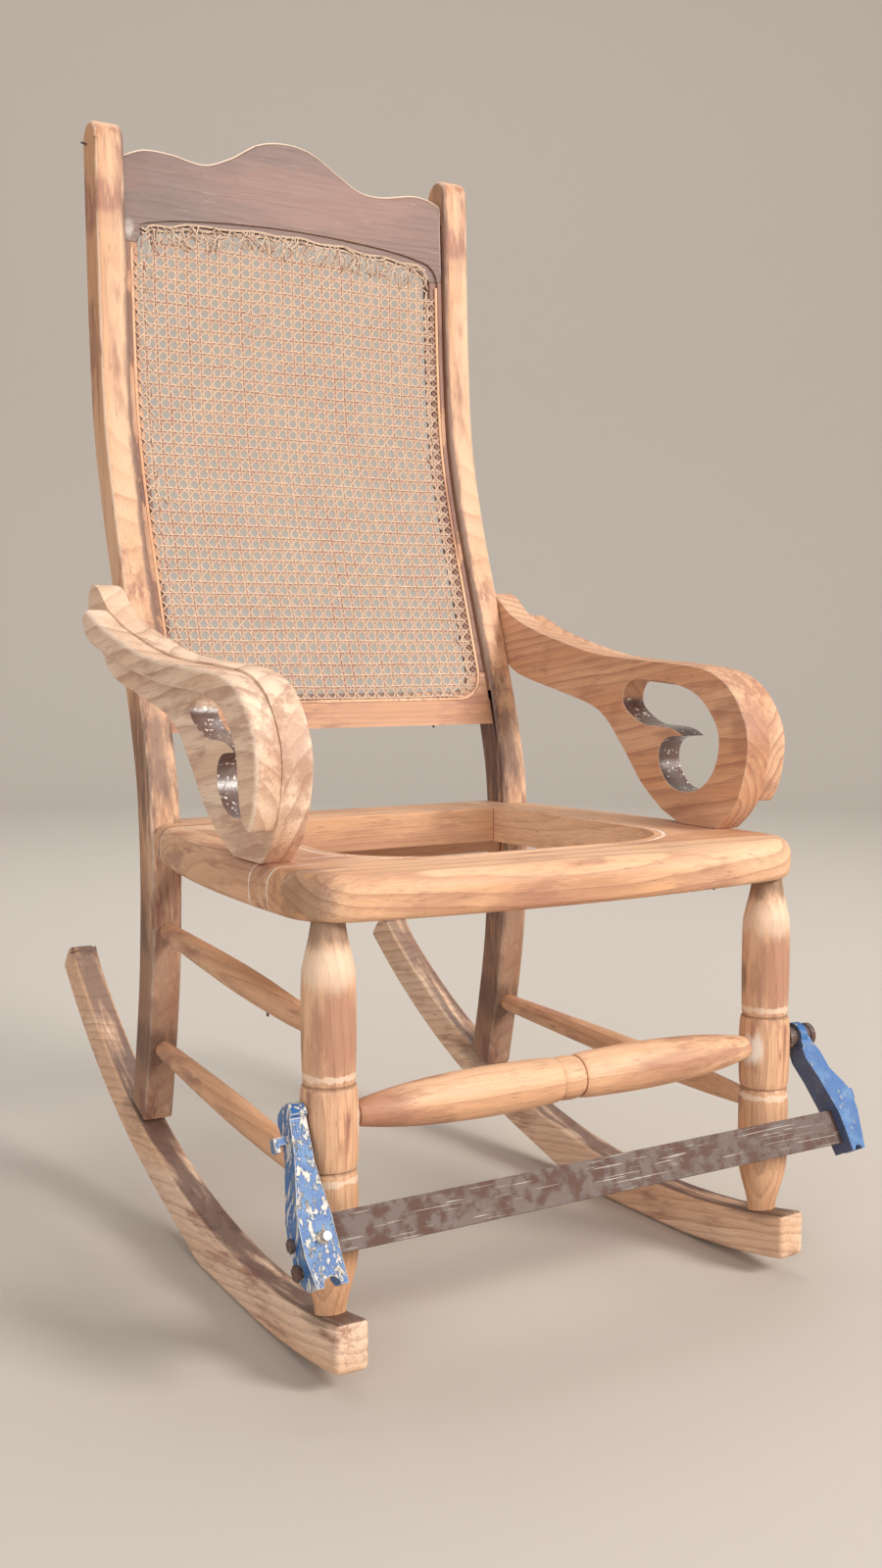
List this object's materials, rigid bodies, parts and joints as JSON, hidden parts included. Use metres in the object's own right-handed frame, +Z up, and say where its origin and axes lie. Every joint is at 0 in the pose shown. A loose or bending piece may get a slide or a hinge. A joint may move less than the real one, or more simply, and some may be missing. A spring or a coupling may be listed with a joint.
{
  "type": "rocking chair",
  "caption": "Broken cane-back rocking chair with gooseneck arms, its seat cane and one side stretcher lost, held by a bar clamp across the front legs.",
  "frame": {"origin": "on the floor, in the middle of the chair's footprint", "axes": "+Z up, the chair faces -Y, +X is towards its left arm as the sitter has it, at the viewer's right from the front"},
  "size_m": [0.5755, 0.7589, 1.103],
  "materials": {
    "pine": "stripped bare and sanded, with stains in the grain",
    "stained_pine": "old dark varnish half stripped off",
    "cane": "woven cane, dry and satin",
    "rusty_steel": "brown with rust",
    "bar_steel": "dull, scratched, with brown rust",
    "blue_paint": "chipped blue enamel over grey iron",
    "brass": "worn"
  },
  "bodies": {
    "chair": {"left_rocker": "pine", "right_rocker": "pine", "left_back_post": "pine", "right_back_post": "pine", "left_front_leg": "pine", "right_front_leg": "pine", "front_stretcher": "pine", "left_upper_side_stretcher": "pine", "left_lower_side_stretcher": "pine", "right_lower_side_stretcher": "pine", "seat_front_rail": "pine", "seat_left_rail": "pine", "seat_right_rail": "pine", "seat_back_rail": "pine", "seat_front_corner_block": "pine", "seat_rear_corner_block": "pine", "seat_under_rail": "pine", "crest_rail": "stained_pine", "back_left_stile": "stained_pine", "back_right_stile": "stained_pine", "back_bottom_rail": "pine", "cane_panel": "cane", "cane_reed": "cane", "cane_torn_strip": "cane", "left_arm": "pine", "left_arm_cheek": "pine", "right_arm": "pine", "right_arm_cheek": "pine", "arm_post_dowels": "pine", "arm_foot_dowels": "pine", "nail_stubs": "rusty_steel", "clamp_bar": "bar_steel", "clamp_left_jaw": "blue_paint", "clamp_rivet": "brass", "clamp_cross_pin": "rusty_steel", "clamp_right_jaw": "blue_paint"},
    "pad": {"clamp_pad": "rusty_steel"},
    "spindle": {"clamp_spindle": "rusty_steel"}
  },
  "joints": [
    {"name": "pad_slide", "type": "slide", "parent": "chair", "child": "pad", "axis": [1, 0, 0], "range_m": [0, 0.006]},
    {"name": "spindle_turn", "type": "hinge", "parent": "pad", "child": "spindle", "pos_m": [0.2698, -0.312, 0.2078], "axis": [1, 0, 0], "range_deg": [0, 540]}
  ],
  "couplings": [
    {"joint": "spindle_turn", "follows": "pad_slide", "rad_per_m": 1570.8}
  ]
}
